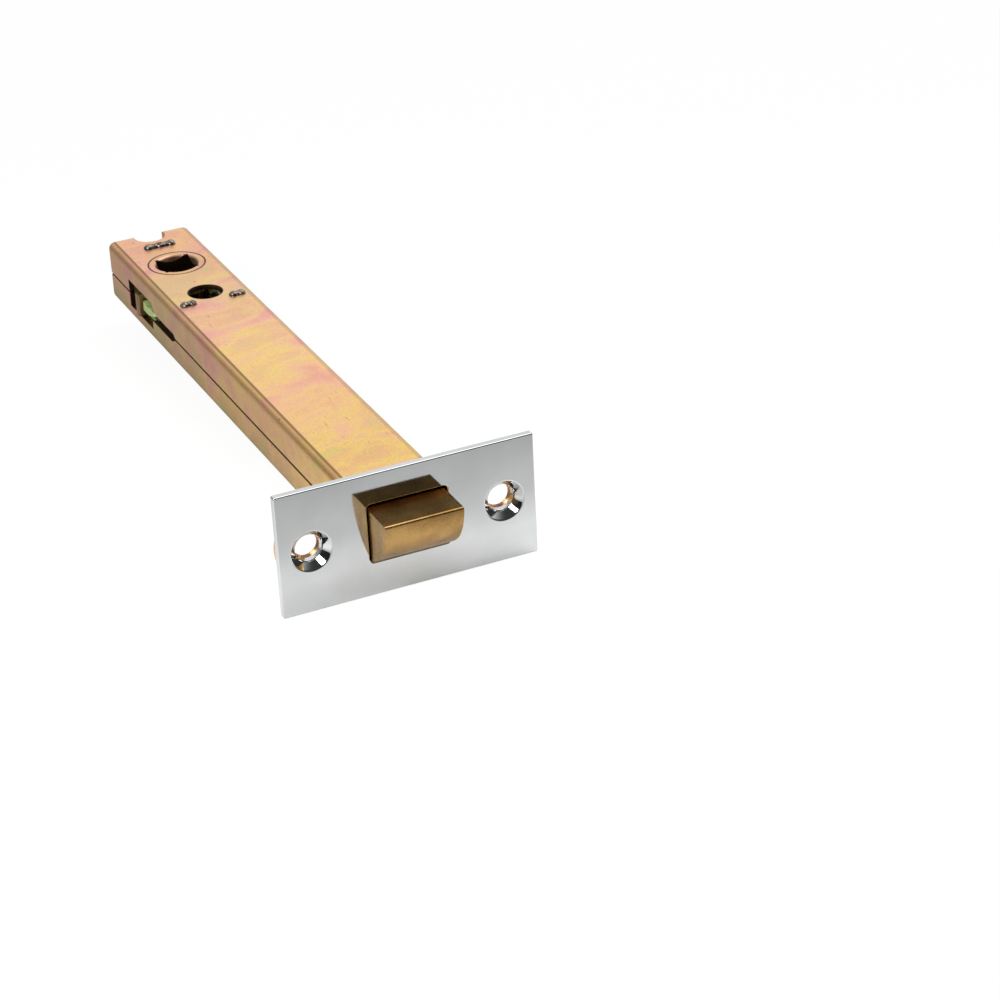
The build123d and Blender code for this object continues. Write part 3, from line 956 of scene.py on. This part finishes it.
@dataclass
class Case:
    """The two folded shells and the staked heads of the spacers that clamp them."""

    bench: Workbench
    face: float = 0.00715
    front: Beads = Beads(2, 0.0018, 0.00108)
    foot: Beads = Beads(3, 0.0022, 0.00108)
    rear: Beads = Beads(3, 0.00275, 0.00114)
    front_span: float = 0.0059
    segments: int = 24
    rings: int = 16
    neck: float = 0.82
    neck_sides: int = 20
    crown: float = 0.86
    sunk: float = 0.0002
    voxel: float = 0.00009
    melt: float = 0.5
    melt_rounds: int = 4

    def build(self) -> None:
        """Build and dress the shells, the spacers and their staked heads."""
        for node in ("upper_case", "lower_case"):
            self.bench.refine(node, "case", ZINC, SHEET_EDGE)
        for node in ("front_spacer", "rear_spacer"):
            self.bench.finish_node(node, STRUCK_STEEL)
        front_x = sum(corner.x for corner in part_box("front_spacer")) / 2
        rear_x = sum(corner.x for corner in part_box("rear_spacer")) / 2
        for side in Side:
            self._head(
                f"front_staked_head_{side.name.lower()}", (front_x, side.value * self.front_span, self.face),
                self.front)
        self._head("front_staked_head_below", (front_x, 0.0, -self.face), self.foot)
        self._head("rear_staked_head_above", (rear_x, 0.0, self.face), self.rear)
        self._head("rear_staked_head_below", (rear_x, 0.0, -self.face), self.rear)

    def _head(self, name: str, place: Triple, beads: Beads) -> None:
        """Strike one staked head: a row of beads run together, flat where it meets the shell.

        Args:
            name: The piece's name.
            place: The middle of the head on the shell's face.
            beads: Its beads.
        """
        outward = 1 if place[2] > 0 else -1
        span = (beads.count - 1) * beads.pitch
        ball = {"segments": self.segments, "ring_count": self.rings, "radius": beads.radius}
        bpy.ops.object.select_all(action="DESELECT")
        bpy.ops.mesh.primitive_uv_sphere_add(location=(0.0, 0.0, 0.0), **ball)
        head = bpy.context.active_object
        head.name = name
        with editing(head):
            bpy.ops.mesh.select_all(action="SELECT")
            bpy.ops.transform.translate(value=(0.0, -span / 2, 0.0))
            for bead in range(1, beads.count):
                bpy.ops.mesh.primitive_uv_sphere_add(location=(0.0, bead * beads.pitch - span / 2, 0.0), **ball)
            # A narrow neck joins the beads
            bpy.ops.mesh.primitive_cylinder_add(
                vertices=self.neck_sides, radius=beads.radius * self.neck, depth=span,
                rotation=(math.pi / 2, 0.0, 0.0))
            bpy.ops.mesh.select_all(action="SELECT")
            bpy.ops.transform.resize(value=(1.0, 1.0, self.crown))
        modify(head, "REMESH", mode="VOXEL", voxel_size=self.voxel, use_smooth_shade=True)
        modify(head, "SMOOTH", factor=self.melt, iterations=self.melt_rounds)
        with editing(head):
            bpy.ops.mesh.select_all(action="SELECT")
            bpy.ops.mesh.bisect(
                plane_co=(0.0, 0.0, -outward * self.sunk), plane_no=(0.0, 0.0, outward), use_fill=True,
                clear_inner=True)
            bpy.ops.mesh.select_all(action="SELECT")
            bpy.ops.transform.translate(value=place)
            bpy.ops.mesh.normals_make_consistent(inside=False)
        pick(head)
        bpy.ops.object.shade_smooth_by_angle(angle=ROUND_ANGLE)
        self.bench.fit(head, "case", STRUCK_STEEL)


@dataclass
class Spring:
    """A compression spring of round wire along X, with a closed turn at each end.

    A closed turn's pitch is given in wire radii.
    """

    bench: Workbench
    wire: float
    steps: int = 24
    closed_turn: float = 2.1
    roundness: int = 2
    travel: float = TRAVEL

    def build(
        self, name: str, node: str, turns: Triple, body: str, joint: str, anchor_front: bool,
    ) -> None:
        """Wind the spring in the place of its CAD node, or a stretch of it.

        Args:
            name: The piece's name.
            node: The CAD node that it stands for.
            turns: The first and last turn of the stretch, and how many turns the whole spring has.
            body: The body that it rides on.
            joint: The joint that presses it; not used.
            anchor_front: Whether the end at the higher X stays where it is; not used.
        """
        low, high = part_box(node)
        radius = (high.y - low.y) / 2 - self.wire
        middle_y, middle_z = (low.y + high.y) / 2, (low.z + high.z) / 2
        first, last, whole = turns
        closed_pitch = self.closed_turn * self.wire
        open_pitch = (high.x - low.x - 2 * self.wire - 2 * closed_pitch) / (whole - 2)
        curve = bpy.data.curves.new(name, "CURVE")
        curve.dimensions = "3D"
        curve.bevel_depth = self.wire
        curve.bevel_resolution = self.roundness
        curve.use_fill_caps = True
        spline = curve.splines.new("POLY")
        spline.points.add(round((last - first) * self.steps))
        for index, point in enumerate(spline.points):
            turn = first + index / self.steps
            closed = min(turn, 1.0) + max(turn - whole + 1.0, 0.0)
            x = low.x + self.wire + closed * closed_pitch + (turn - closed) * open_pitch
            angle = 2 * math.pi * turn
            point.co = (x, middle_y + radius * math.cos(angle), middle_z + radius * math.sin(angle), 1.0)
        piece = bpy.data.objects.new(name, curve)
        bpy.context.scene.collection.objects.link(piece)
        pick(piece)
        bpy.ops.object.convert(target="MESH")
        piece = bpy.context.active_object
        pick(piece)
        bpy.ops.object.shade_smooth_by_angle(angle=ROUND_ANGLE)
        self.bench.fit(piece, body, DRAWN_WIRE, node)
        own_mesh(piece)


@dataclass
class BoltUnit:
    """The brass latch bolt with its pin, drawbar and spring."""

    bench: Workbench
    edge: float = 0.00005
    wire: float = 0.00045
    turns: int = 16

    def build(self) -> None:
        """Build and dress the bolt unit."""
        self.bench.refine("latch_bolt", "bolt", BRASS, self.edge)
        self.bench.finish_node("bolt_pin", PIN_STEEL)
        self.bench.refine("drawbar", "retractor", INNER_ZINC, STAMPED_EDGE)
        # Two joints press this spring, so it is wound in two halves
        spring = Spring(self.bench, self.wire)
        middle = self.turns / 2
        spring.build("bolt_spring_rear_turns", "bolt_spring", (0.0, middle, self.turns), "case", "retractor_pull",
                     False)
        spring.build("bolt_spring_front_turns", "bolt_spring", (middle, self.turns, self.turns), "retractor",
                     "bolt_press", False)


@dataclass
class FollowerUnit:
    """The follower, the retractor that it pulls, and the two sprung slides that bring it level."""

    bench: Workbench
    wire: float = 0.0004
    steps: int = 20
    turns: int = 9

    def build(self) -> None:
        """Build and dress the follower unit."""
        self.bench.refine("follower", "follower", FOLLOWER_ZINC, STAMPED_EDGE)
        self.bench.refine("retractor", "retractor", INNER_ZINC, STAMPED_EDGE)
        spring = Spring(self.bench, self.wire, self.steps)
        for side in Side:
            word = side.name.lower()
            self.bench.refine(f"{word}_spring_slide", f"{word}_slide", GREEN_ZINC, STAMPED_EDGE)
            spring.build(f"{word}_follower_spring_wire", f"{word}_follower_spring", (0.0, self.turns, self.turns),
                         "case", f"{word}_slide_push", True)


@dataclass(frozen=True)
class Softbox:
    """A square lamp: where it hangs, what it faces, its side and its power in watts."""

    name: str
    place: Triple
    aim: Triple
    size: float
    power: float


@dataclass
class Studio:
    """A pale floor, soft light and the camera."""

    floor_size: float = 8.0
    floor_gap: float = 0.0001
    # A painted pool of light along X on the floor, brightest at the forend's face, for the metal to mirror
    painted_light_reach: tuple[float, float] = (-0.18, 0.06)
    painted_light_pool: Stops = (
        (0.0, "#A8A8A8"), (0.45, "#BEBEBE"), (0.74, "#FAFAFA"), (0.80, "#F6F6F6"), (0.86, "#D0D0D0"),
        (0.92, "#C0C0C0"), (1.0, "#AAAAAA"),
    )
    paper_roughness: float = 0.9
    seen_white: float = 0.8
    seen_strength: float = 1.15
    brightness: float = 1.10
    tent: tuple[tuple[str, Fade], ...] = (
        ("X", Fade(-0.10, 0.45, 1.0, 0.05)), ("Y", Fade(-0.55, -0.15, 0.40, 1.0)),
        ("Z", Fade(-0.05, 0.30, 0.62, 1.0)),
    )
    softboxes: tuple[Softbox, ...] = (
        Softbox("key_softbox", (-0.15, 0.45, 0.85), (-0.06, 0.0, 0.0), 0.8, 3.0),
        Softbox("floor_light", (0.24, -0.36, 0.42), (-0.02, -0.03, 0.0), 0.24, 2.4),
    )
    focal_pixels: float = 3012.5
    picture_width: float = 1000.0
    sensor: float = 36.0
    camera_place: Triple = (0.48880, -0.19852, 0.28441)
    view_azimuth: float = 155.91
    view_drop: float = 27.94
    view_roll: float = -2.87

    def build(self) -> None:
        """Set up the floor, the light and the camera."""
        self._floor()
        self._world()
        for softbox in self.softboxes:
            self._hang(softbox)
        self._camera()
        bpy.context.scene.view_settings.view_transform = "Standard"

    def _floor(self) -> None:
        """Lay the paper just under the latch, near white to the camera; to the mirroring metal it is grey with a
        painted pool of light, brightest at the forend's face.
        """
        bpy.ops.object.select_all(action="DESELECT")
        bpy.ops.mesh.primitive_plane_add(size=self.floor_size, location=(0.0, 0.0, CAD_BOX[0][2] - self.floor_gap))
        floor = bpy.context.active_object
        floor.name = "studio_floor"
        settle(floor)
        material, graph, shader, place = new_material("floor_paper_with_painted_light", Roughness=self.paper_roughness)
        along = graph.add("ShaderNodeSeparateXYZ", {}, {"Vector": place}).outputs["X"]
        # The floor's tone is a painted pool of light along X
        tone = graph.ramp(graph.follow(along, Fade(*self.painted_light_reach, 0.0, 1.0, soft=False)), self.painted_light_pool)
        graph.tree.links.new(tone, shader.inputs["Base Color"])
        rays = graph.add("ShaderNodeLightPath").outputs
        seen = graph.compute("MAXIMUM", rays["Is Camera Ray"], rays["Is Transmission Ray"])
        share = graph.compute("MULTIPLY", seen, self.seen_white)
        white = graph.add(
            "ShaderNodeEmission", {"Color": (1.0, 1.0, 1.0, 1.0), "Strength": self.seen_strength}).outputs[0]
        both = graph.add("ShaderNodeMixShader", {}, {0: share, 1: shader.outputs[0], 2: white}).outputs[0]
        graph.tree.links.new(both, graph.tree.nodes["Material Output"].inputs["Surface"])
        floor.data.materials.append(material)

    def _world(self) -> None:
        """Surround the latch with a soft tent: bright overhead and behind, dim before it and low on its left."""
        world = bpy.data.worlds.new("soft_studio")
        bpy.context.scene.world = world
        world.use_nodes = True
        world.node_tree.nodes.clear()
        graph = Graph(world.node_tree)
        way = graph.add("ShaderNodeTexCoord").outputs["Generated"]
        parts = graph.add("ShaderNodeSeparateXYZ", {}, {"Vector": way}).outputs
        tone, *others = [graph.follow(parts[axis], fade) for axis, fade in self.tent]
        for other in others:
            tone = graph.compute("MULTIPLY", tone, other)
        strength = graph.compute("MULTIPLY", tone, self.brightness)
        back = graph.add("ShaderNodeBackground", {}, {"Strength": strength}).outputs[0]
        graph.add("ShaderNodeOutputWorld", {}, {"Surface": back})

    @staticmethod
    def _hang(softbox: Softbox) -> None:
        """Hang one lamp and turn it to what it faces.

        Args:
            softbox: The lamp.
        """
        lamp = bpy.data.lights.new(softbox.name, "AREA")
        lamp.size = softbox.size
        lamp.energy = softbox.power
        holder = bpy.data.objects.new(softbox.name, lamp)
        bpy.context.scene.collection.objects.link(holder)
        holder.location = softbox.place
        way = Vector(softbox.aim) - Vector(softbox.place)
        holder.rotation_euler = way.to_track_quat("-Z", "Y").to_euler()

    def _camera(self) -> None:
        """Place the camera that the photograph was fitted with."""
        camera = bpy.data.cameras.new("camera")
        camera.sensor_width = self.sensor
        camera.lens = self.focal_pixels / self.picture_width * self.sensor
        camera.clip_start = 0.01
        holder = bpy.data.objects.new("camera", camera)
        bpy.context.scene.collection.objects.link(holder)
        azimuth, drop = math.radians(self.view_azimuth), math.radians(self.view_drop)
        forward = Vector((
            math.cos(azimuth) * math.cos(drop), math.sin(azimuth) * math.cos(drop), -math.sin(drop)))
        roll = Quaternion((0.0, 0.0, 1.0), math.radians(self.view_roll))
        holder.location = self.camera_place
        holder.rotation_mode = "QUATERNION"
        holder.rotation_quaternion = forward.to_track_quat("-Z", "Y") @ roll
        bpy.context.scene.camera = holder


def main() -> None:
    """Build every sub-assembly, then the studio."""
    logging.basicConfig(level=logging.INFO, format="%(name)s: %(message)s")
    bench = Workbench()
    for unit in (Forend(bench), Case(bench), BoltUnit(bench), FollowerUnit(bench)):
        unit.build()
        log.info("%s built", type(unit).__name__)
    Studio().build()


if __name__ == "__main__":
    main()
